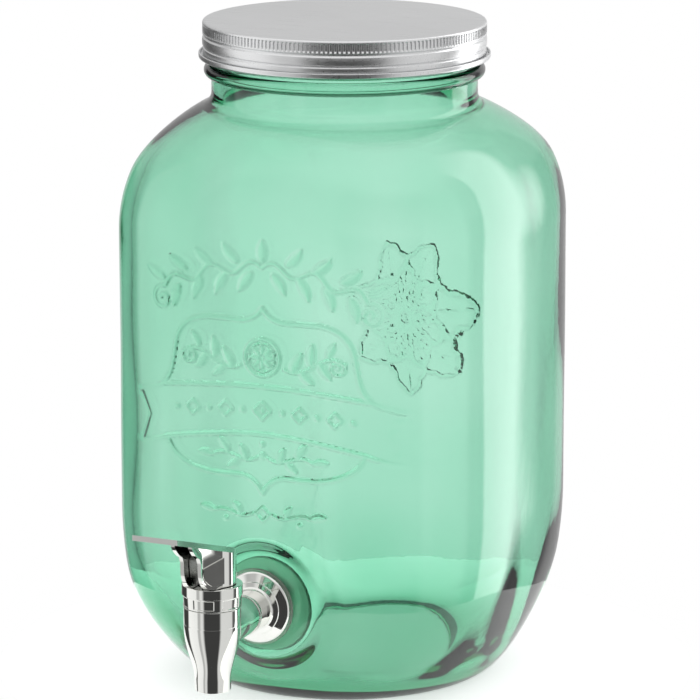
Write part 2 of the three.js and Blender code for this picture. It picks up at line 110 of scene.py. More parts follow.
PATTERN_NEAREST = 60.0  # a pattern lies at least this far in front of or behind the axis
CREST_X = 2.0  # the middle of the crest
CREST_HEIGHTS = (84.0, 226.0)
ROSETTE_HEIGHTS = (80.0, 226.0)
CREST_RELIEF = 1.0
ROSETTE_RELIEF = 1.35
ROSETTE_CENTRE = (-5.0, 150.0)
ROSETTE_ASPECT = 0.84
STIPPLE = 0.38  # roughness of the rosette's leaves

# ---- meshes ----


def add_mesh(name, vertices, faces, sharp_above=35):
    """A smooth-shaded mesh object from vertices in millimetres, with sharp edges above an angle."""
    mesh = bpy.data.meshes.new(name)
    mesh.from_pydata((np.asarray(vertices, float) * MM).tolist(), [], faces)
    mesh.validate()
    piece = bpy.data.objects.new(name, mesh)
    bpy.context.scene.collection.objects.link(piece)
    smooth(piece, sharp_above)
    return piece


def smooth(piece, sharp_above=35):
    piece.data.shade_smooth()
    piece.data.set_sharp_from_angle(angle=math.radians(sharp_above))


def grid_faces(rows, columns, closed):
    """Quads between rows of points, each row a ring; closed joins the last row to the first too."""
    row = np.arange(rows if closed else rows - 1)[:, None]
    column = np.arange(columns)[None, :]
    here = row * columns + column
    beside = row * columns + (column + 1) % columns
    above = ((row + 1) % rows) * columns + column
    above_beside = ((row + 1) % rows) * columns + (column + 1) % columns
    return np.stack([here, beside, above_beside, above], axis=-1).reshape(-1, 4)


def shell(points):
    """Vertices and faces from points, rows x columns x 3, whose two end rows lie on the axis."""
    rows, columns = points.shape[:2]
    inner = points[1:-1].reshape(-1, 3)
    ends = np.array([points[0, 0], points[-1, 0]])
    first, last = len(inner), len(inner) + 1
    around = np.arange(columns)
    onward = (around + 1) % columns
    top = (rows - 3) * columns
    caps = [(first, b, a) for a, b in zip(around.tolist(), onward.tolist())]
    caps += [(last, top + a, top + b) for a, b in zip(around.tolist(), onward.tolist())]
    return np.vstack([inner, ends]), grid_faces(rows - 2, columns, False).tolist() + caps


def filleted(corners, closed=True, steps=5):
    """An outline of (x, y, radius) corners as points, with each corner rounded to its radius."""
    count = len(corners)
    points = []
    for i, (x, y, radius) in enumerate(corners):
        here = np.array([x, y], float)
        if radius == 0 or (not closed and i in (0, count - 1)):
            points.append(here)
            continue
        arms = [np.array(corners[(i + step) % count][:2], float) - here for step in (-1, 1)]
        arms = [arm / np.linalg.norm(arm) for arm in arms]
        half = math.acos(float(np.clip(arms[0] @ arms[1], -1, 1))) / 2
        middle = (arms[0] + arms[1]) / np.linalg.norm(arms[0] + arms[1])
        centre = here + middle * radius / math.sin(half)
        ends = [here + arm * radius / math.tan(half) - centre for arm in arms]
        first, last = (math.atan2(end[1], end[0]) for end in ends)
        sweep = (last - first + math.pi) % (2 * math.pi) - math.pi
        for angle in first + sweep * np.linspace(0, 1, steps):
            points.append(centre + radius * np.array([math.cos(angle), math.sin(angle)]))
    return np.array(points)


def turned(outline, angles=None, shape=None, axis="Z", closed=True):
    """Vertices and faces of an outline of (radius, height) turned round an axis.

    shape(radius, height, angle) may change the radius. Y turns round the line of the tap's pipe.
    """
    if angles is None:
        angles = np.radians(np.arange(0, 360, 3.75))
    radius, height = (np.repeat(outline[:, [i]], len(angles), axis=1) for i in (0, 1))
    angle = np.repeat(np.asarray(angles)[None, :], len(outline), axis=0)
    if shape is not None:
        radius = shape(radius, height, angle)
    across, up = radius * np.cos(angle), radius * np.sin(angle)
    if axis == "Y":
        points = np.stack([across, height, SHANK_Z - up], axis=-1)
    else:
        points = np.stack([across, up, height], axis=-1)
    if closed:
        return points.reshape(-1, 3), grid_faces(*points.shape[:2], True).tolist()
    return shell(points)


def turned_piece(name, outline, **how):
    return add_mesh(name, *turned(outline, **how))


def pipe_rod(radius, start, end, edge=0.0, angles=None):
    """A solid rod on the line of the tap's pipe, with its far edge rounded."""
    corners = [(0, start, 0), (radius, start, 0), (radius, end, edge), (0, end, 0)]
    return turned(filleted(corners, closed=False), angles=angles, axis="Y", closed=False)


def moved(made, offset):
    vertices, faces = made
    return np.asarray(vertices) + np.array(offset, float), faces


def carve(piece, *cuts):
    """Applies (operation, (vertices, faces)) booleans to a piece, in order."""
    tools = []
    for operation, made in cuts:
        tool = add_mesh("tool", *made)
        modifier = piece.modifiers.new("cut", "BOOLEAN")
        modifier.operation = operation
        modifier.object = tool
        modifier.solver = "MANIFOLD"
        tools.append(tool)
    apply_modifiers(piece)
    for tool in tools:
        bpy.data.meshes.remove(tool.data)


def apply_modifiers(piece):
    bpy.context.view_layer.update()
    graph = bpy.context.evaluated_depsgraph_get()
    mesh = bpy.data.meshes.new_from_object(piece.evaluated_get(graph))
    old = piece.data
    piece.modifiers.clear()
    piece.data = mesh
    bpy.data.meshes.remove(old)
    mesh.name = piece.name
    smooth(piece)


def even_normals(piece):
    """Lets the large faces set the normals, so that flats look flat beside their rounded edges."""
    modifier = piece.modifiers.new("even_normals", "WEIGHTED_NORMAL")
    modifier.keep_sharp = True
    return piece


def finish_piece(piece, slot, body, *nodes):
    """Gives a piece its material, and its place in the frame."""
    piece.data.materials.clear()
    piece.data.materials.append(MATERIALS[slot])
    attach(piece, body)
    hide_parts(*nodes)
    return piece


# ---- materials ----


def new_material(name, settings):
    """A material with one Principled shader, its sockets set by name."""
    material = bpy.data.materials.new(name)
    material.use_nodes = True
    for socket, value in settings.items():
        shader_of(material).inputs[socket].default_value = value
    return material


def shader_of(material):
    return material.node_tree.nodes["Principled BSDF"]


def new_node(tree, kind, settings=None, links=None):
    """A node with its input values set, and its inputs linked, by name or number."""
    node = tree.nodes.new(kind)
    for socket, value in (settings or {}).items():
        node.inputs[socket].default_value = value
    for socket, output in (links or {}).items():
        tree.links.new(output, node.inputs[socket])
    return node


def noise(material, scale, detail=3.0, stretch=(1, 1, 1)):
    """Noise from 0 to 1 over the object, with this many cells a metre."""
    tree = material.node_tree
    place = new_node(tree, "ShaderNodeTexCoord").outputs["Object"]
    stretched = new_node(tree, "ShaderNodeMapping", {"Scale": stretch}, {"Vector": place})
    grain, start = {"Scale": scale, "Detail": detail}, {"Vector": stretched.outputs["Vector"]}
    return new_node(tree, "ShaderNodeTexNoise", grain, start).outputs["Fac"]


def mapped(tree, value, settings):
    return new_node(tree, "ShaderNodeMapRange", settings, {"Value": value}).outputs["Result"]


def vary(material, socket, amount, low, high):
    """Runs a shader value between two numbers as a texture runs from 0.3 to 0.7."""
    tree = material.node_tree
    ends = {"From Min": 0.3, "From Max": 0.7, "To Min": low, "To Max": high}
    tree.links.new(mapped(tree, amount, ends), shader_of(material).inputs[socket])


def vary_colour(material, amount, first, second):
    tree = material.node_tree
    ramp = new_node(tree, "ShaderNodeValToRGB", links={"Fac": amount})
    for element, place, colour in zip(ramp.color_ramp.elements, (0.3, 0.7), (first, second)):
        element.position = place
        element.color = (*colour, 1)
    tree.links.new(ramp.outputs["Color"], shader_of(material).inputs["Base Color"])


def bump(material, amount, depth):
    """A bump of a depth in millimetres."""
    tree = material.node_tree
    node = new_node(
        tree, "ShaderNodeBump", {"Strength": 1.0, "Distance": depth * MM}, {"Height": amount}
    )
    tree.links.new(node.outputs["Normal"], shader_of(material).inputs["Normal"])


def green_glass():
    """Mint pressed glass, tinted through its depth, with the faint orange peel of a mould."""
    material = new_material(
        "green_glass", {"Roughness": 0.0, "IOR": 1.5, "Transmission Weight": 1.0}
    )
    vary_colour(material, noise(material, 14), (0.95, 0.99, 0.97), (0.99, 1.0, 0.99))
    bump(material, noise(material, 160, 2), 0.02)
    tree = material.node_tree
    inside = new_node(
        tree, "ShaderNodeVolumeAbsorption", {"Color": (0.073, 0.727, 0.473, 1), "Density": 98.0}
    )
    output = tree.nodes["Material Output"]
    tree.links.new(inside.outputs["Volume"], output.inputs["Volume"])
    return material


def lid_metal():
    """Satin tinplate with straight brushing."""
    material = new_material("lid_metal", {"Metallic": 1.0, "Anisotropic": 0.3})
    brushing = noise(material, 30, 6, (1, 60, 60))
    vary_colour(material, brushing, (0.79, 0.795, 0.80), (0.85, 0.855, 0.86))
    vary(material, "Roughness", brushing, 0.26, 0.36)
    bump(material, brushing, 0.003)
    return material


def bright_chrome():
    material = new_material("tap_chrome", {"Metallic": 1.0})
    vary_colour(material, noise(material, 60), (0.83, 0.835, 0.80), (0.87, 0.875, 0.84))
    vary(material, "Roughness", noise(material, 220, 5), 0.03, 0.075)
    bump(material, noise(material, 90, 2), 0.004)
    return material


def plain_steel():
    material = new_material("plain_steel", {"Metallic": 1.0})
    grain = noise(material, 400, 4, (1, 1, 8))
    vary_colour(material, grain, (0.55, 0.56, 0.57), (0.66, 0.67, 0.68))
    vary(material, "Roughness", grain, 0.22, 0.38)
    bump(material, grain, 0.01)
    return material


def clear_silicone():
    """Milky silicone rubber that lets some light through."""
    material = new_material(
        "clear_silicone",
        {"IOR": 1.41, "Transmission Weight": 0.85, "Roughness": 0.45},
    )
    vary_colour(material, noise(material, 120), (0.88, 0.94, 0.85), (0.93, 0.97, 0.90))
    bump(material, noise(material, 900, 4), 0.02)
    return material


def black_rubber():
    material = new_material("black_rubber", {"Specular IOR Level": 0.35})
    grain = noise(material, 1500, 4)
    vary_colour(material, grain, (0.018, 0.018, 0.019), (0.04, 0.04, 0.042))
    vary(material, "Roughness", grain, 0.5, 0.7)
    bump(material, grain, 0.02)
    return material


def white_plastic():
    material = new_material("white_plastic", {"Specular IOR Level": 0.45})
    grain = noise(material, 700, 4)
    vary_colour(material, noise(material, 40), (0.76, 0.76, 0.73), (0.82, 0.82, 0.79))
    vary(material, "Roughness", grain, 0.34, 0.48)
    bump(material, grain, 0.015)
    return material


# ---- the jar's form ----


def smoothstep(value, low, high):
    t = np.clip((np.asarray(value, float) - low) / (high - low), 0, 1)
    return t * t * (3 - 2 * t)


def corner_power(height):
    """How square the jar is at a height: round at the foot and the neck."""
    rise = smoothstep(height, 0, HEEL_HEIGHT * 0.66)
    fall = smoothstep(height, SHOULDER_START + 28, SHOULDER_START + SHOULDER_RISE)
    return 2 + (CORNER_POWER - 2) * rise * (1 - fall)


def arc(centre, radii, start, stop, steps):
    """Points on an ellipse from one angle to another, in degrees."""
    t = np.radians(np.linspace(start, stop, steps))
    return np.column_stack([centre[0] + radii[0] * np.cos(t), centre[1] + radii[1] * np.sin(t)])


def curve(*controls, steps=14):
    """Points on the Bezier curve with these control points."""
    t = np.linspace(0, 1, steps)[:, None]
    layers = [np.array(c, float)[None, :] for c in controls]
    while len(layers) > 1:
        layers = [a * (1 - t) + b * t for a, b in zip(layers, layers[1:])]
    return layers[0]


def line(start, stop, steps):
    return curve(start, stop, steps=steps)


def wall_rows(radius, start, stop, step):
    """Points up a straight wall."""
    return line((radius, start), (radius, stop), int(round(abs(stop - start) / step)) + 1)


def outer_outline():
    """Up the outside, from the middle of the underside to the top of the rim."""
    heel = JAR_HALF_WIDTH - BASE_RADIUS
    resting_ring = ((12, PUSH_UP), (7, PUSH_UP), (6, 0), (2, 0))
    shoulder = (JAR_HALF_WIDTH - SHOULDER_REACH, SHOULDER_START)
    shoulder_end = arc(shoulder, (SHOULDER_REACH, SHOULDER_RISE), 66.6, 66.6, 1)[0]
    bead = arc((NECK_RADIUS, BEAD_HEIGHT), (BEAD_REACH, BEAD_HALF_HEIGHT), -90, 90, 15)
    stretches = [
        line((0, PUSH_UP), (BASE_RADIUS - 16, PUSH_UP), 5),
        curve(*[(BASE_RADIUS - x, z) for x, z in resting_ring], steps=8),
        arc((BASE_RADIUS, HEEL_HEIGHT), (heel, HEEL_HEIGHT), -90, -2, 60),
        wall_rows(JAR_HALF_WIDTH, HEEL_HEIGHT, SHOULDER_START, 0.6),
        arc(shoulder, (SHOULDER_REACH, SHOULDER_RISE), 0.6, 12, 18),
        arc(shoulder, (SHOULDER_REACH, SHOULDER_RISE), 14, 65, 26),
        curve(shoulder_end, (NECK_RADIUS, NECK_START - 5), (NECK_RADIUS, NECK_START), steps=9),
        line((NECK_RADIUS, NECK_START + 2), (NECK_RADIUS, BEAD_HEIGHT - 4), 4),
        bead,
        wall_rows(FINISH_RADIUS, BEAD_HEIGHT + 4, RIM_HEIGHT - 1.8, 0.4),
        arc((FINISH_RADIUS - 1.6, RIM_HEIGHT - 1.6), (1.6, 1.6), 0, 90, 6),
    ]
    return np.vstack(stretches)


def inner_outline():
    """Down the inside, from the rim to the middle of the floor."""
    half_width = JAR_HALF_WIDTH - WALL
    floor_radius = BASE_RADIUS - WALL
    wall_foot = HEEL_HEIGHT - BASE_THICKNESS
    shoulder = (half_width - SHOULDER_REACH, SHOULDER_START)
    shoulder_radii = (SHOULDER_REACH, SHOULDER_RISE - WALL)
    shoulder_end = arc(shoulder, shoulder_radii, 70, 70, 1)[0]
    stretches = [
        arc((MOUTH_RADIUS + 1.4, RIM_HEIGHT - 1.4), (1.4, 1.4), 90, 180, 6),
        line((MOUTH_RADIUS, RIM_HEIGHT - 4), (MOUTH_RADIUS, 276), 12),
        curve((MOUTH_RADIUS, 273), (MOUTH_RADIUS, 269), shoulder_end, steps=7),
        arc(shoulder, shoulder_radii, 67, 2, 34),
        line((half_width, SHOULDER_START), (half_width, HEEL_HEIGHT), 66),
        arc((floor_radius, HEEL_HEIGHT), (half_width - floor_radius, wall_foot), -1, -89, 120),
        line((floor_radius, BASE_THICKNESS), (0, BASE_THICKNESS), 8),
    ]
    return np.vstack(stretches)


def jar_angles():
    """Directions round the jar, close together over the front and back patterns."""
    # Start, stop and step, in degrees.
    spans = ((-126, -54, 0.36), (-54, 66, 1.5), (66, 114, 0.5), (114, 234, 1.5))
    return np.radians(np.concatenate([np.arange(*span) for span in spans]))


def squared(outline, angles):
    """Points rows x columns x 3 of an outline carried round the jar's rounded square."""
    radius, height = outline[:, :1], outline[:, 1:]
    power = corner_power(height)
    spread = np.abs(np.cos(angles)) ** power + np.abs(np.sin(angles)) ** power
    reach = radius * spread ** (-1 / power)
    return np.stack(
        [reach * np.cos(angles), reach * np.sin(angles), np.repeat(height, len(angles), 1)], axis=-1
    )


def ripple(angle, height):
    """The slow waves that pressing leaves in glass, from -1 to 1."""
    # Waves round the jar, turn of phase for each millimetre up, and phase.
    waves = ((5, 0.035, 0.4), (9, -0.05, 1.7), (14, 0.02, 4.1), (3, 0.08, 2.6))
    return sum(np.sin(n * angle + m * height + phase) for n, m, phase in waves) / len(waves)


def push_out(points, amount):
    """Moves a wall's points level outwards, by an amount at each."""
    power = corner_power(points[..., 2])
    x, y = points[..., 0], points[..., 1]
    normal = np.stack(
        [np.sign(x) * np.abs(x) ** (power - 1), np.sign(y) * np.abs(y) ** (power - 1)], axis=-1
    )
    normal /= np.maximum(np.linalg.norm(normal, axis=-1, keepdims=True), 1e-9)
    points[..., :2] += normal * amount[..., None]


def glass_thread(points, angles):
    """Raises the screw thread on the jar's mouth."""
    turn = angles % (2 * math.pi)
    height, amount = points[..., 2], np.zeros(points.shape[:2])
    for lap in (0, 2 * math.pi):
        along = (turn + lap)[None, :] / (2 * math.pi * THREAD_TURNS)
        middle = THREAD_START + THREAD_PITCH * THREAD_TURNS * along
        faded = smoothstep(along, 0, 0.06) * smoothstep(along, 1, 0.94)
        crest = smoothstep(np.abs(height - middle), 1.6, 0.5)
        amount = np.maximum(amount, THREAD_DEPTH * crest * faded)
    push_out(points, amount)


# ---- pressed patterns ----


def ridge(x, z, path, widths, sharpness=1.0):
    """Height from 0 to 1 of a rounded stroke along a path, with a half-width at each point."""
    path = np.asarray(path, float)
    widths = np.maximum(np.broadcast_to(np.asarray(widths, float), len(path)), 0.05)
    height = np.zeros_like(x)
    reach = widths.max()
    low, high = path.min(axis=0) - reach, path.max(axis=0) + reach
    near = (x > low[0]) & (x < high[0]) & (z > low[1]) & (z < high[1])
    if not near.any():
        return height
    here = np.stack([x[near], z[near]], axis=-1)
    best = np.zeros(len(here))
    for start, stop, w0, w1 in zip(path, path[1:], widths, widths[1:]):
        run = stop - start
        t = np.clip((here - start) @ run / max(run @ run, 1e-9), 0, 1)
        gap = np.linalg.norm(here - start - t[:, None] * run, axis=1)
        best = np.maximum(best, 1 - (gap / (w0 + t * (w1 - w0))) ** 2)
    height[near] = np.clip(best, 0, 1) ** sharpness
    return height


def turned_path(path, angle, origin=(0, 0)):
    """A path turned by an angle in degrees about its own zero, and moved to an origin."""
    c, s = math.cos(math.radians(angle)), math.sin(math.radians(angle))
    return np.asarray(path, float) @ np.array([[c, s], [-s, c]]) + np.array(origin, float)


def leaf(base, angle, length, width, sway=0.12):
    """A stroke that swells and closes like a leaf, starting at its base."""
    path = curve((0, 0), (length * 0.5, length * sway), (length, 0), steps=12)
    t = np.linspace(0, 1, len(path))
    return turned_path(path, angle, base), width * np.sin(math.pi * t ** 0.8) ** 0.7


def spiral(centre, radius, start, turns, steps=26):
    """A curl that winds in from a start angle."""
    t = np.linspace(0, 1, steps)
    angle = math.radians(start) + 2 * math.pi * turns * t
    reach = radius * (1 - 0.85 * t)
    return np.column_stack([centre[0] + reach * np.cos(angle), centre[1] + reach * np.sin(angle)])


def both_sides(strokes):
    """Strokes and their mirror images in X."""
    mirrored = [(np.asarray(path) * (-1, 1), widths) for path, widths in strokes]
    return strokes + mirrored


def frame_strokes():
    """The shield-shaped outline and the forked ribbon across it."""
    bead = 1.35
    half = [
        curve((0, 191.5), (3, 186.5), (8, 184.6), (16, 185.2)),
        curve((16, 185.2), (31, 186.5), (42, 184), (44.5, 172)),
        curve((44.5, 172), (46.5, 161), (46.5, 156), (52.5, 151)),
        curve((49.5, 126.5), (46, 115), (30, 111.5), (14, 112.8)),
        curve((14, 112.8), (7, 113.2), (3, 110.5), (0, 104.8)),
        curve((52.5, 151), (58, 148.5), (66, 146.5), steps=6),
        curve((65, 122.5), (58, 123), (49.5, 126.5), steps=6),
        curve((0, 155), (22, 155), (52.5, 151)),
        curve((0, 132.6), (22, 132.4), (49.5, 126.5)),
    ]
    tails = [line((66, 146.5), (60, 135.5), 4), line((60, 135.5), (65, 122.5), 4)]
    return both_sides([(path, bead) for path in half] + [(path, 0.8) for path in tails])


def garland_strokes():
    """A leafy vine on an arch over the shield, with a curl at each end."""
    arch_centre, arch_radius, spread = (0, 99), 111, 27
    wander, bends = 2.6, 34
    strokes = []
    swing = np.linspace(0, spread, 40)
    reach = arch_radius + wander * np.sin(np.radians(swing) * bends)
    stem = np.column_stack(
        [reach * np.sin(np.radians(swing)), arch_centre[1] + reach * np.cos(np.radians(swing))]
    )
    strokes.append((stem, 1.15))
    for i, degrees in enumerate(np.arange(2.6, spread, 3.4)):
        out = 1 if i % 2 else -1
        radius = arch_radius + wander * out
        base = (
            radius * math.sin(math.radians(degrees)),
            arch_centre[1] + radius * math.cos(math.radians(degrees)),
        )
        strokes.append(leaf(base, -degrees + out * 52, 11.5, 2.9, sway=-0.12 * out))
    tip = stem[-1]
    strokes.append((spiral((tip[0] + 1.5, tip[1] - 6), 6.2, 104, -1.3), 1.1))
    strokes = both_sides(strokes)
    strokes.append(leaf((0, 213), 90, 10, 3.2, sway=0))
    return strokes


def dot(centre, radius):
    return arc(centre, (0.05, 0.05), 0, 360, 3), radius


def diamond(centre, size):
    x, z = centre
    corners = [(x - size, z), (x, z + size), (x + size, z), (x, z - size), (x - size, z)]
    return np.vstack([line(a, b, 3) for a, b in zip(corners, corners[1:])]), 0.95


def slice_strokes(centre, radius):
    """A round slice of citrus fruit: rind, pith line and segments."""
    strokes = [
        (arc(centre, (radius, radius), 0, 360, 36), 1.1),
        (arc(centre, (radius * 0.76, radius * 0.76), 0, 360, 30), 0.6),
    ]
    for angle in range(0, 360, 45):
        start = turned_path([(radius * 0.16, 0)], angle, centre)[0]
        strokes.append(leaf(start, angle, radius * 0.56, radius * 0.17, sway=0))
    return strokes


def filling_strokes():
    """What the shield holds: a slice of fruit between sprigs, a studded ribbon and lower sprigs."""
    sprigs = [
        (curve((11, 164), (22, 158), (30, 176), (40, 168), steps=20), 1.0),
        (spiral((36.5, 166.5), 4.4, 30, -1.2), 0.9),
        leaf((15, 162.5), 62, 11, 2.8),
        leaf((19, 163.5), -40, 8.5, 2.3, sway=-0.12),
        leaf((24, 167), 84, 10, 2.7),
        leaf((28, 168.5), -52, 10, 2.5, sway=-0.12),
        leaf((32, 171), 60, 8, 2.2),
        (curve((2, 122), (10, 116), (17, 127), (25, 121), steps=16), 1.0),
        leaf((8, 119.5), 66, 8.5, 2.4),
        leaf((12, 120.5), -38, 7.5, 2.1, sway=-0.12),
        leaf((17, 123), 52, 8.5, 2.3),
        leaf((25, 121), 5, 8, 2.1),
        (curve((5, 95), (12, 91), (17, 98), (24, 95), steps=14), 0.95),
        leaf((11, 94.5), 55, 6.5, 1.9),
        leaf((24, 95), 8, 8, 2.0),
        dot((18.5, 91.5), 1.5),
    ]
    for i, x in enumerate(np.arange(10, 46, 8.5)):
        z = 143.6 - 2.3 * (x / 45) ** 2
        sprigs.append(dot((x, z), 1.8) if i % 2 == 0 else diamond((x, z), 3.4))
    strokes = both_sides(sprigs)
    strokes += slice_strokes((0, 168.5), 8.6)
    strokes += [diamond((0, 143.6), 4.2), dot((0, 143.6), 1.4)]
    strokes += [dot((0, 122.5), 2.4), dot((0, 128), 1.7), diamond((0, 95), 3.4)]
    return strokes


def crest_height(x, z):
    """Height in millimetres of the pattern pressed into the jar's front."""
    height = np.zeros_like(x)
    for path, widths in frame_strokes() + garland_strokes() + filling_strokes():
        height = np.maximum(height, ridge(x - CREST_X, z, path, widths, 0.8))
    return CREST_RELIEF * height * (1 - 0.65 * smoothstep(np.abs(x - CREST_X), 46, 62))


def serrated_outline(base, angle, length, width):
    """The toothed edge of a leaf, from its base to its tip and back."""
    t = np.linspace(0, 1, 33)
    teeth = 1 + 0.25 * np.abs(np.sin(4 * math.pi * t))
    half = width * np.sin(math.pi * t**0.8) ** 0.7 * teeth
    near, far = np.column_stack([length * t, half]), np.column_stack([length * t, -half])
    return turned_path(np.vstack([near, far[::-1]]), angle, base)


def rosette_height(x, z):
    """Height in millimetres of the leaf rosette pressed into the jar's back."""
    x, z = (x - ROSETTE_CENTRE[0]) / ROSETTE_ASPECT, z - ROSETTE_CENTRE[1]
    height = np.zeros_like(x)
    for count, length, width, offset in ((7, 40, 11.5, 12), (7, 27, 9.0, 38)):
        for i in range(count):
            angle = offset + i * 360 / count
            base = turned_path([(4, 0)], angle)[0]
            middle, widths = leaf(base, angle, length - 4, width, 0.05)
            edge = serrated_outline(base, angle, length - 4, width)
            height = np.maximum(height, 0.3 * ridge(x, z, middle, widths, 0.5))
            height = np.maximum(height, 0.95 * ridge(x, z, edge, 1.8))
            height = np.maximum(height, 0.75 * ridge(x, z, middle[:-1], 1.1))
            for start in middle[3:9:2]:
                for side in (-38, 38):
                    tip = turned_path([(width * 0.72, 0)], angle + side, start)[0]
                    height = np.maximum(height, 0.55 * ridge(x, z, line(start, tip, 2), 0.9))
    for i in range(7):
        centre = (0, 0) if i == 6 else turned_path([(4.6, 0)], 60 * i)[0]
        height = np.maximum(height, ridge(x, z, *dot(centre, 2.4), 0.5))
    return ROSETTE_RELIEF * height


# ---- the jar ----


def mould_front(points):
    """The flat boss round the tap and the pressed crest."""
    edge_rounding, foot_rounding = 2.5, 3.5
    x, y, z = (points[..., i] for i in range(3))
    from_tap = np.hypot(x, z - SHANK_Z)
    spread = BOSS_RADIUS + BOSS_SPREAD
    front = (y < 0) & (from_tap < spread) & (z > 4)
    past = from_tap - BOSS_RADIUS
    cone = BOSS_FACE - BOSS_SLOPE * (past + np.hypot(past, edge_rounding)) / 2
    depth = -y
    rounded = (depth + cone + np.hypot(depth - cone, foot_rounding)) / 2
    faded = smoothstep(from_tap, spread, spread - 6)
    y[front] = -(depth + (np.minimum(rounded, BOSS_FACE) - depth) * faded)[front]
    crest = np.zeros_like(x)
    patterned = (y < -PATTERN_NEAREST) & (z > CREST_HEIGHTS[0]) & (z < CREST_HEIGHTS[1])
    crest[patterned] = crest_height(x[patterned], z[patterned])
    push_out(points, crest)


def mould_back(points):
    """The rosette, on a patch that is lowered by as much as the leaves stand up."""
    x, y, z = (points[..., i] for i in range(3))
    amount = np.zeros_like(x)
    patterned = (y > PATTERN_NEAREST) & (z > ROSETTE_HEIGHTS[0]) & (z < ROSETTE_HEIGHTS[1])
    away = np.hypot(x[patterned] - ROSETTE_CENTRE[0], z[patterned] - ROSETTE_CENTRE[1])
    lowered = ROSETTE_RELIEF * smoothstep(away, 75, 35)
    height = rosette_height(x[patterned], z[patterned])
    stipple = np.random.default_rng(4).uniform(-STIPPLE, 0, height.shape)
    amount[patterned] = height + stipple * smoothstep(height, 0.2, 0.7) - lowered
    push_out(points, amount)


def jar_outside(angles):
    """The outside's points: slightly wavy, with the boss, both patterns and the thread."""
    points = squared(outer_outline(), angles)
    height = points[..., 2]
    waves = smoothstep(height, 12, 60) * smoothstep(height, 270, 240)
    push_out(points, OUTER_RIPPLE * waves * (ripple(angles[None, :] + 1, height) - 1))
    mould_front(points)
    mould_back(points)
    finish = (height > BEAD_HEIGHT + 3) & (height < RIM_HEIGHT)
    rows = np.flatnonzero(finish.all(axis=1))
    threaded = points[rows]
    glass_thread(threaded, angles)
    points[rows] = threaded
    return points


def jar_inside(angles):
    """The inside's points: wavier than the outside, with a flat seat for the inner gasket."""
    points = squared(inner_outline(), angles)
    height = points[..., 2]
    waves = smoothstep(height, 9, 20) * smoothstep(height, 268, 235)
    depth = INNER_RIPPLE + FOOT_RIPPLE * smoothstep(height, 65, 28)
    push_out(points, depth * waves * (ripple(angles[None, :], height) - 1))
    x, y, z = (points[..., i] for i in range(3))
    seat = smoothstep(np.hypot(x, z - SHANK_Z), SEAT_RADIUS + 8, SEAT_RADIUS) * (y < 0)
    points[..., 1] = y * (1 - seat) - SEAT_FACE * seat
    return points


def glass_jar():
    angles = jar_angles()
    points = np.vstack([jar_outside(angles), jar_inside(angles)])
    jar = add_mesh("glass_jar_pressed", *shell(points), sharp_above=180)
    carve(jar, ("DIFFERENCE", pipe_rod(HOLE_RADIUS, -110, -80)))
    return finish_piece(jar, "green_glass", "root", "glass_jar")


# ---- the lid ----

LID_TOP = extent("lid_cap")[1][2]
LID_BOTTOM = extent("lid_cap")[0][2]
CURL_RADIUS = extent("lid_cap")[1][0]
KNURL_SLOTS = 200
KNURL_DEPTH = 0.6
KNURL_RADIUS = 66.25


def lid_outline():
    """From the axis under the top, down inside the skirt, round the curl and up the outside."""
    knurl_rows = [(KNURL_RADIUS, LID_TOP - drop, 0) for drop in np.arange(5.4, 1.2, -0.3)]
    corners = [
        (0, LID_TOP - 0.8, 0),
        (64, LID_TOP - 0.8, 0),
        (65, LID_TOP - 0.8, 0.6),
        (65, LID_BOTTOM, 0.9),
        (CURL_RADIUS, LID_BOTTOM, 1.3),
        (CURL_RADIUS, LID_BOTTOM + 2.8, 0.34),
        (CURL_RADIUS - 0.75, LID_BOTTOM + 2.8, 0.34),
        (CURL_RADIUS - 0.75, LID_BOTTOM + 1.0, 0.3),
        (66.05, LID_BOTTOM + 1.0, 0.3),
        (66.05, LID_BOTTOM + 4.9, 0.5),
        (65.45, LID_BOTTOM + 5.5, 0.3),
        (66.25, LID_BOTTOM + 6.3, 0.6),
        (66.4, LID_BOTTOM + 8.1, 6),
        (66.25, LID_BOTTOM + 9.9, 0.6),
        (65.4, LID_BOTTOM + 10.8, 0.4),
        (KNURL_RADIUS, LID_BOTTOM + 11.7, 0.35),
        *knurl_rows,
        (KNURL_RADIUS, LID_TOP, 1.0),
        (64.4, LID_TOP, 0),
        (0, LID_TOP, 0),
    ]
    return filleted(corners, closed=False)


def knurled(radius, height, angle):
    """Upright slots pressed into the band under the lid's top."""
    place = (angle * KNURL_SLOTS / (2 * math.pi)) % 1
    slot = smoothstep(np.abs(place - 0.5), 0.30, 0.20)
    above = smoothstep(height, LID_TOP - 5.6, LID_TOP - 4.9)
    below = smoothstep(height, LID_TOP - 1.1, LID_TOP - 1.7)
    outside = smoothstep(radius, KNURL_RADIUS - 0.3, KNURL_RADIUS - 0.1)
    return radius - KNURL_DEPTH * slot * (above * below) * outside


def lid_cap():
    slot_places = (0.0, 0.2, 0.3, 0.5, 0.7, 0.8)
    turns = (np.arange(KNURL_SLOTS)[:, None] + np.array(slot_places)).ravel() / KNURL_SLOTS
    angles = 2 * math.pi * turns
    lid = turned_piece(
        "lid_cap_pressed", lid_outline(), angles=angles, shape=knurled, closed=False
    )
    even_normals(lid)
    return finish_piece(lid, "lid_metal", "lid", "lid_cap")


# ---- pieces on the pipe through the glass ----


def shank_thread(radius, height, angle):
    """A fine screw thread on the part of the shank that passes through the glass."""
    pitch, depth = 1.8, 0.55
    phase = (height / pitch - angle / (2 * math.pi)) % 1
    threaded = smoothstep(height, -96.6, -95.6) * smoothstep(height, -76.8, -77.8)
    on_outside = smoothstep(radius, 7.2, 7.9) * smoothstep(radius, 8.6, 8.2)
    return radius - depth * threaded * on_outside * smoothstep(np.abs(phase - 0.5), 0.45, 0.15)


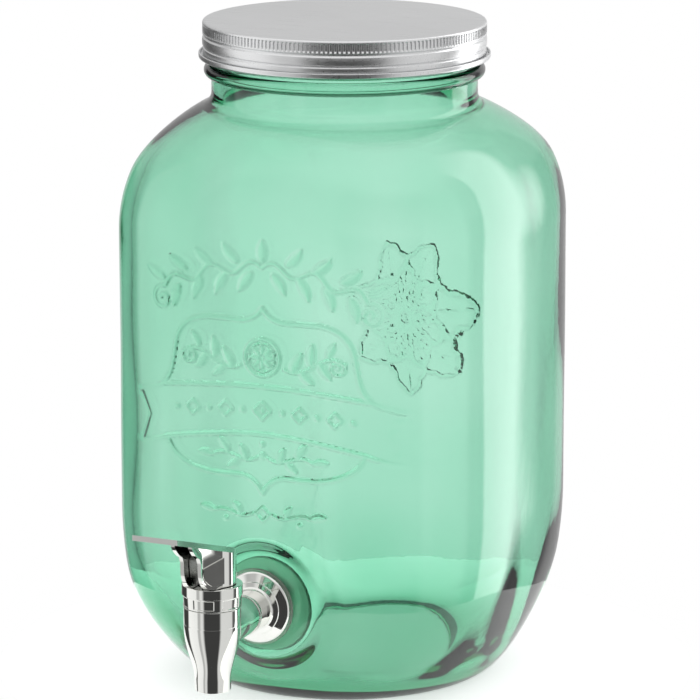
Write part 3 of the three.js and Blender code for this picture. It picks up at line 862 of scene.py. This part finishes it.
def tap_shank():
    flange_face = -98.0
    thread_rows = [(8, y, 0) for y in np.arange(flange_face + 0.8, -77.2, 0.22)]
    corners = [
        (PIPE_BORE, -121.3, 0.3),
        (7, -121.3, 0.4),
        (7, -113.8, 0),
        (9.7, -113.8, 0.25),
        (9.7, -112.7, 0.25),
        (PIPE_RADIUS, -112.4, 0.1),
        (PIPE_RADIUS, -101.9, 0.7),
        (10.2, -101.1, 0.3),
        (12.2, -100.6, 0.12),
        (12.4, -100.1, 0.12),
        (16.1, -99.1, 0.9),
        (16.8, -98.4, 0.4),
        (16.8, flange_face, 0.15),
        (8, flange_face, 0.2),
        *thread_rows,
        (8, -76.5, 0.5),
        (PIPE_BORE, -76.5, 0.3),
    ]
    shank = turned_piece(
        "tap_shank_plated",
        filleted(corners),
        angles=np.radians(np.arange(0, 360, 2.5)),
        shape=shank_thread,
        axis="Y",
    )
    even_normals(shank)
    return finish_piece(shank, "tap_chrome", "root", "tap_shank")


def soft_ring(node, outer, rounding, slot):
    """A gasket or washer with rounded edges, where its CAD node is."""
    low, high = extent(node)
    start, end = low[1], high[1]
    corners = [(RING_BORE, start), (outer, start), (outer, end), (RING_BORE, end)]
    outline = filleted([(r, y, rounding) for r, y in corners])
    ring = even_normals(turned_piece(node + "_ring", outline, axis="Y"))
    return finish_piece(ring, slot, "root", node)


def hexagonal(radius, height, angle):
    """Cuts a turned rim back to six flats."""
    flat = 12.0
    from_flat = (angle + math.pi / 6) % (math.pi / 3) - math.pi / 6
    return np.where(radius > 10, np.minimum(radius, flat / np.cos(from_flat)), radius)


def lock_nut():
    low, high = extent("lock_nut")
    start, end = low[1], high[1]
    corners = [
        (RING_BORE, start, 0.5),
        (13.0, start, 0.2),
        (13.8, start + 0.5, 0.2),
        (13.8, end - 0.5, 0.2),
        (13.0, end, 0.2),
        (RING_BORE, end, 0.5),
    ]
    nut = turned_piece(
        "lock_nut_moulded",
        filleted(corners),
        angles=np.radians(np.arange(0, 360, 2)),
        shape=hexagonal,
        axis="Y",
    )
    even_normals(nut)
    return finish_piece(nut, "white_plastic", "root", "lock_nut")


# ---- tap body and bonnet ----


def tap_body():
    body_radius, body_top, neck_radius, neck_top = 12.95, 64.2, 11.4, 70.8
    ring = 56.1  # height of the fine line round the body
    flare = curve((8.3, 31), (8.5, 38), (12.9, 44), (body_radius, ring - 0.4), steps=26)
    outside = [
        (0, OUTLET_Z, 0),
        (8.2, OUTLET_Z, 0.45),
        *[(r, z, 0) for r, z in flare],
        (body_radius - 0.14, ring - 0.1, 0),
        (body_radius - 0.14, ring + 0.1, 0),
        (body_radius, ring + 0.4, 0),
        (body_radius, body_top, 0.3),
        (neck_radius, body_top, 0),
        (neck_radius, neck_top, 0.3),
        (0, neck_top, 0),
    ]
    inside = [
        (0, OUTLET_Z - 1, 0),
        (6.9, OUTLET_Z - 1, 0),
        (6.9, 40, 0.3),
        (6.5, 41, 0.3),
        (6.5, 43, 0.3),
        (9.6, 46.5, 0.5),
        (9.6, neck_top + 1, 0),
        (0, neck_top + 1, 0),
    ]
    fine = np.radians(np.arange(0, 360, 2.5))

    def upright_turned(corners, angles=None):
        made = turned(filleted(corners, closed=False), angles=angles, closed=False)
        return moved(made, (0, TAP_Y, 0))

    body = add_mesh("tap_body_plated", *upright_turned(outside, fine))
    socket_radius = 7.3
    carve(
        body,
        ("UNION", pipe_rod(PIPE_RADIUS, TAP_Y, -114, 0.25, angles=fine)),
        ("DIFFERENCE", upright_turned(inside)),
        ("DIFFERENCE", pipe_rod(PIPE_BORE, TAP_Y, -120, angles=fine)),
        ("DIFFERENCE", pipe_rod(socket_radius, -122.9, -110, angles=fine)),
    )
    even_normals(body)
    return finish_piece(body, "tap_chrome", "root", "tap_body")


def gripped(radius, height, angle):
    """Six shallow panels let into the bonnet's lower band."""
    depth, panel_half, edge = 0.34, math.radians(22), 0.035
    rib_centre = math.radians(38 - 90)
    place = (angle - rib_centre + math.pi / 6) % (math.pi / 3)
    across = smoothstep(np.abs(place - math.pi / 3), panel_half, panel_half - edge)
    across = np.maximum(across, smoothstep(np.abs(place), panel_half, panel_half - edge))
    along = smoothstep(height, 65.2, 65.5) * smoothstep(height, 69.8, 69.5)
    outer = smoothstep(radius, 12.6, 12.9)
    return radius - depth * across * along * outer


def bonnet():
    bottom, band = 64.5, BONNET_TOP - 4.8
    panel_rows = [(13.22 + 0.28 * t, bottom + 0.5 + 4.9 * t, 0) for t in np.linspace(0, 1, 22)]
    corners = [
        (2.8, 70.9, 0),
        (4.7, 70.9, 0),
        (4.7, 68.4, 0),
        (5.5, 68.4, 0.2),
        (5.5, 72.2, 0.2),
        (11.8, 72.2, 0.2),
        (11.8, bottom, 0.2),
        (13.2, bottom, 0.25),
        *panel_rows,
        (13.5, band, 0),
        (13.8, band, 0.15),
        (13.8, BONNET_TOP, 0.5),
        (9.1, BONNET_TOP, 0.2),
        (8.6, BONNET_TOP - 0.8, 0.2),
        (2.8, BONNET_TOP - 0.8, 0.15),
    ]
    made = turned(filleted(corners), angles=np.radians(np.arange(0, 360, 0.75)), shape=gripped)
    cap = even_normals(add_mesh("bonnet_plated", *moved(made, (0, TAP_Y, 0))))
    return finish_piece(cap, "tap_chrome", "root", "bonnet")


def return_spring():
    """A wire coil with closed ends, built at one length to fill its CAD node's box."""
    wire, coils, closed_end = 0.5, 7, 0.12  # the last is a share of the wire
    low, high = extent("return_spring")
    coil = (high[0] - low[0]) / 2 - wire
    t = np.linspace(0, 1, 221)
    turn = 2 * math.pi * coils * t
    opened = np.clip((t - closed_end) / (1 - 2 * closed_end), 0, 1)
    rise = smoothstep(t, 0.1, 0.9) * 0.2 + opened * 0.8
    height = low[2] + wire + (high[2] - low[2] - 2 * wire) * rise
    around = -np.radians(np.arange(0, 360, 36))[None, :]
    taper = np.where((t == 0) | (t == 1), 0.0, wire)[:, None]
    reach = coil + taper * np.cos(around)
    points = np.stack(
        [
            reach * np.cos(turn)[:, None],
            reach * np.sin(turn)[:, None] + TAP_Y,
            height[:, None] + taper * np.sin(around),
        ],
        axis=-1,
    )
    spring = add_mesh("return_spring_coil", *shell(points))
    finish_piece(spring, "plain_steel", "root", "return_spring")
    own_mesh(spring)
    return spring


# ---- lever ----

LEVER_HALF_WIDTH = extent("lever")[1][0]
LEVER_REACH = TAP_Y - extent("lever")[0][1]
LEVER_THICKNESS = 2.4
LEVER_SLOPE = math.radians(16.8)
LEVER_TOP_AT_AXIS = 17.5  # above the bonnet, as is the next
LOBE_HEIGHT = 10.65
LOBE_FORWARD = 11.2  # of the tap's axis
LOBE_RADIUS = 10.3
HUB_TOP = 30.0
PAD_INSET = 1.7
PAD_THICKNESS = 0.5
SLOT_HALF_WIDTH = 3.35
EDGE_ROUNDING = 0.25
CLEAR_BELOW = -5.0  # cutting solids reach from here to the next, above the bonnet
CLEAR_ABOVE = 60.0
CLEAR_DEPTH = 80.0  # or this deep below the lever's top
CHEEK_EDGE = [(9.2, 0), (8.6, -6.9), (5.2, -20), (5.2, -32)]
CHEEK_PLAN = [(-x, y) for x, y in CHEEK_EDGE] + CHEEK_EDGE[::-1]


def prism(outline, low, high, across=False):
    """A closed outline carried from low to high: drawn in X and Y and raised, or across X."""
    outline = np.asarray(outline, float)
    count = len(outline)
    ends = [np.column_stack([outline, np.full(count, value)]) for value in (low, high)]
    vertices = np.vstack(ends)
    if across:
        vertices = vertices[:, [2, 0, 1]]
    faces = [tuple(range(count - 1, -1, -1)), tuple(range(count, 2 * count))]
    faces += [(i, (i + 1) % count, count + (i + 1) % count, count + i) for i in range(count)]
    return vertices, faces


def from_bonnet(made):
    """Moves what is drawn from the middle of the bonnet's top into place."""
    return moved(made, (0, TAP_Y, BONNET_TOP))


def slab(depth_from, depth_to):
    """What lies between two depths under the lever's sloping top."""
    drop = math.tan(LEVER_SLOPE)
    near, far, half_width = 60, -80, 60

    def height(y, depth):
        return LEVER_TOP_AT_AXIS - y * drop - depth / math.cos(LEVER_SLOPE)

    outline = [
        (near, height(near, depth_to)),
        (near, height(near, depth_from)),
        (far, height(far, depth_from)),
        (far, height(far, depth_to)),
    ]
    return from_bonnet(prism(outline, -half_width, half_width, across=True))


def upright(plan, low=CLEAR_BELOW, high=CLEAR_ABOVE):
    return from_bonnet(prism(plan, low, high))


def cut_to_plan(name, side, plan):
    """What a side view and a plan of the lever have in common."""
    half_width = 11
    piece = add_mesh(name, *from_bonnet(prism(side, -half_width, half_width, across=True)))
    carve(piece, ("INTERSECT", upright(plan)))
    return piece


def lobe(radius, steps):
    """The lobe's rounded front, down to its lowest point."""
    return arc((-LOBE_FORWARD, LOBE_HEIGHT), (radius, radius), 180, 270, steps)


def lever_paddle():
    """The flat sloping plate, round at the back."""
    half, front = LEVER_HALF_WIDTH, -LEVER_REACH
    back = arc((0, 0), (half, half), 0, 180, 33)
    paddle = add_mesh("lever_plated", *upright(np.vstack([[(-half, front), (half, front)], back])))
    carve(paddle, ("INTERSECT", slab(0, LEVER_THICKNESS)))
    return paddle


def lever_cheeks():
    """The sides under the paddle, with the lobe that the lever rocks on."""
    bottom = LOBE_HEIGHT - LOBE_RADIUS
    side = np.vstack(
        [
            [(0, bottom), (0, HUB_TOP), (-30.7, HUB_TOP), (-30.7, 23.5)],
            curve((-30.7, 23.5), (-27.5, 19), (-23, 17), steps=8)[1:],
            [(-21.6, 14)],
            lobe(LOBE_RADIUS, 20)[:-1],
            [(-LOBE_FORWARD, bottom)],
        ]
    )
    return cut_to_plan("cheeks", side, CHEEK_PLAN)


def lever_pads():
    """A thin raised pad on the outside of each cheek."""
    front = lobe(LOBE_RADIUS - PAD_INSET, 14)
    side = np.vstack([[(-2.8, front[-1][1]), (-2.8, 14.6), (front[0][0], 11.8)], front])
    plan = [(x + math.copysign(PAD_THICKNESS, x), y) for x, y in CHEEK_PLAN]
    return cut_to_plan("pads", side, plan)


def lever_slot():
    """The space between the cheeks, where the stem stands."""
    half, front, back = SLOT_HALF_WIDTH, -45, 5.5
    plan = [(-half, front), (half, front), (half, back), (-half, back)]
    slot = add_mesh("slot_cut", *upright(plan, low=-10))
    carve(slot, ("INTERSECT", slab(LEVER_THICKNESS, CLEAR_DEPTH)))
    return slot


def lever():
    paddle, cheeks, pads, slot = lever_paddle(), lever_cheeks(), lever_pads(), lever_slot()
    hub_plan = arc((0, 0), (LEVER_HALF_WIDTH, LEVER_HALF_WIDTH), 0, 360, 65)[:-1]
    carve(
        cheeks,
        ("UNION", upright(hub_plan, LOBE_HEIGHT - LOBE_RADIUS, HUB_TOP)),
        ("UNION", mesh_data(pads)),
        ("INTERSECT", slab(LEVER_THICKNESS / 2, CLEAR_DEPTH)),
        ("DIFFERENCE", mesh_data(slot)),
    )
    carve(paddle, ("UNION", mesh_data(cheeks)))
    for spare in (slot, pads, cheeks):
        bpy.data.meshes.remove(spare.data)
    rounded = paddle.modifiers.new("rounded", "BEVEL")
    rounded.width = EDGE_ROUNDING * MM
    rounded.segments = 3
    rounded.angle_limit = math.radians(38)
    apply_modifiers(paddle)
    even_normals(paddle)
    return finish_piece(paddle, "tap_chrome", "lever", "lever")


def mesh_data(piece):
    """A piece's vertices in millimetres, and its faces."""
    vertices = np.array([vertex.co for vertex in piece.data.vertices]) / MM
    return vertices, [tuple(face.vertices) for face in piece.data.polygons]


# ---- studio ----

CAMERA_AZIMUTH = math.radians(24.38)
CAMERA_ELEVATION = math.radians(12.73)
CAMERA_DISTANCE = 2200.0
CAMERA_TARGET_HEIGHT = 152.33
CAMERA_LENS = 239.4
CAMERA_SHIFT = 0.0077
FLOOR_RADIUS = 165.0


def add_camera():
    level = math.cos(CAMERA_ELEVATION)
    sin, cos = math.sin(CAMERA_AZIMUTH), math.cos(CAMERA_AZIMUTH)
    away = Vector((sin * level, -cos * level, math.sin(CAMERA_ELEVATION)))
    data = bpy.data.cameras.new("camera")
    data.lens = CAMERA_LENS
    data.shift_x = CAMERA_SHIFT
    data.clip_end = 20
    camera = bpy.data.objects.new("camera", data)
    camera.location = Vector((0, 0, CAMERA_TARGET_HEIGHT * MM)) + away * CAMERA_DISTANCE * MM
    camera.rotation_euler = (-away).to_track_quat("-Z", "Y").to_euler()
    bpy.context.scene.collection.objects.link(camera)
    bpy.context.scene.camera = camera


def add_floor():
    """A small round table top, so that the tap reflects the dim room beyond its front edge."""
    low, high = -0.4, -0.1
    outline = np.array([(0, low), (FLOOR_RADIUS, low), (FLOOR_RADIUS, high), (0, high)])
    floor = turned_piece("floor", outline, closed=False)
    material = new_material("floor_white", {"Roughness": 0.6, "Emission Strength": 0.6})
    vary_colour(material, noise(material, 8), (0.86, 0.86, 0.86), (0.88, 0.88, 0.88))
    shader_of(material).inputs["Emission Color"].default_value = (1, 1, 1, 1)
    floor.data.materials.append(material)


# Pairs of an angle, in degrees round from the camera towards its right, and a brightness.
SEEN_IN_REFLECTIONS = (
    (-180, 0.62), (-158, 0.5), (-152, 0.05), (-112, 0.05), (-106, 1.05), (-62, 0.95),
    (-58, 0.5), (-50, 0.5), (-46, 0.8), (-38, 0.8), (-30, 0.05), (30, 0.05), (38, 0.75),
    (86, 0.75), (92, 0.12), (105, 0.12), (108, 2.7), (130.5, 2.7), (134, 0.3), (142, 0.35),
    (147, 0.75), (180, 0.62),
)
SEEN_THROUGH_GLASS = (
    (-180, 1.05), (-165, 1.02), (-150, 0.88), (-138, 0.65), (-128, 0.08), (-100, 0.08),
    (-88, 0.9), (-40, 1.0), (40, 1.0), (84, 0.9), (94, 0.12), (118, 0.12), (132, 0.7),
    (150, 0.88), (165, 1.02), (180, 1.05),
)


def calculated(tree, operation, settings, links):
    node = new_node(tree, "ShaderNodeMath", settings, links)
    node.operation = operation
    return node.outputs["Value"]


def either(tree, choice, first, second):
    return new_node(tree, "ShaderNodeMix", links={0: choice, 2: first, 3: second}).outputs[0]


def along(tree, vector):
    """How nearly a ray points along a vector, from -1 to 1."""
    direction = new_node(tree, "ShaderNodeTexCoord").outputs["Generated"]
    node = new_node(tree, "ShaderNodeVectorMath", {1: vector}, {0: direction})
    node.operation = "DOT_PRODUCT"
    return node.outputs["Value"]


def round_from_camera(tree):
    """A ray's place round the room, from 0 to 1, with the camera at 0.5."""
    sin, cos = math.sin(CAMERA_AZIMUTH), math.cos(CAMERA_AZIMUTH)
    rightwards, towards = along(tree, (cos, sin, 0)), along(tree, (sin, -cos, 0))
    turn = calculated(tree, "ARCTAN2", {}, {0: rightwards, 1: towards})
    return calculated(tree, "MULTIPLY_ADD", {1: 1 / (2 * math.pi), 2: 0.5}, {0: turn})


def brightness(tree, place, panels):
    """The brightness at a place round the room, from (angle, level) pairs."""
    peak = max(level for _, level in panels)
    ramp = new_node(tree, "ShaderNodeValToRGB", links={"Fac": place})
    elements = ramp.color_ramp.elements
    while len(elements) < len(panels):
        elements.new(0.5)
    for element, (angle, level) in zip(elements, panels):
        element.position = (angle + 180) / 360
        element.color = (*[level / peak] * 3, 1)
    return calculated(tree, "MULTIPLY", {1: peak}, {0: ramp.outputs["Color"]})


def backdrop(tree, place, height):
    """What shows through the glass, brightest a little below the horizon."""
    dip, fade = 0.22, 0.9
    from_middle = calculated(tree, "ADD", {1: dip}, {0: height})
    distance = calculated(tree, "ABSOLUTE", {}, {0: from_middle})
    squared_distance = calculated(tree, "POWER", {1: 2}, {0: distance})
    fading = calculated(tree, "MULTIPLY_ADD", {1: -fade, 2: 1.0}, {0: squared_distance})
    panels = brightness(tree, place, SEEN_THROUGH_GLASS)
    return calculated(tree, "MULTIPLY", {}, {0: panels, 1: fading})


def add_studio():
    """Soft panels on both sides, black flags beside them and a white background."""
    world = bpy.data.worlds.new("studio")
    world.use_nodes = True
    tree = world.node_tree
    place, height = round_from_camera(tree), along(tree, (0, 0, 1))
    rays = new_node(tree, "ShaderNodeLightPath").outputs
    above = mapped(tree, height, {"From Min": 0.05, "From Max": 0.2, "To Max": 0.55})
    panels = brightness(tree, place, SEEN_IN_REFLECTIONS)
    reflected = calculated(tree, "MAXIMUM", {}, {0: panels, 1: above})
    through = backdrop(tree, place, height)
    walls = either(tree, rays["Is Transmission Ray"], reflected, through)
    overhead = mapped(tree, height, {"From Min": 0.6, "From Max": 0.85})
    white = new_node(tree, "ShaderNodeValue").outputs[0]
    white.default_value = 1.0
    room = either(tree, overhead, walls, white)
    shown = either(tree, rays["Is Camera Ray"], room, white)
    tree.links.new(shown, tree.nodes["Background"].inputs["Color"])
    bpy.context.scene.world = world
    bpy.context.scene.view_settings.view_transform = "Standard"


# ---- assembly ----

MATERIALS = {
    "green_glass": green_glass(),
    "lid_metal": lid_metal(),
    "tap_chrome": bright_chrome(),
    "plain_steel": plain_steel(),
    "clear_silicone": clear_silicone(),
    "black_rubber": black_rubber(),
    "white_plastic": white_plastic(),
}

KEPT_NODES = {
    "lid_liner": "white_plastic",
    "shank_o_ring": "black_rubber",
    "bonnet_gasket": "black_rubber",
    "valve_stem": "plain_steel",
    "valve_seal": "clear_silicone",
    "stem_o_ring": "black_rubber",
    "spring_seat": "white_plastic",
    "lever_pin": "plain_steel",
}

add_camera()
add_studio()
add_floor()
for node, slot in KEPT_NODES.items():
    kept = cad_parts[node].data.materials
    kept.clear()
    kept.append(MATERIALS[slot])

glass_jar()
lid_cap()
tap_shank()
soft_ring("outer_gasket", 18, 0.55, "clear_silicone")
soft_ring("inner_gasket", 21.5, 0.6, "clear_silicone")
soft_ring("clamp_washer", 14, 0.2, "plain_steel")
lock_nut()
tap_body()
bonnet()
return_spring()
lever()
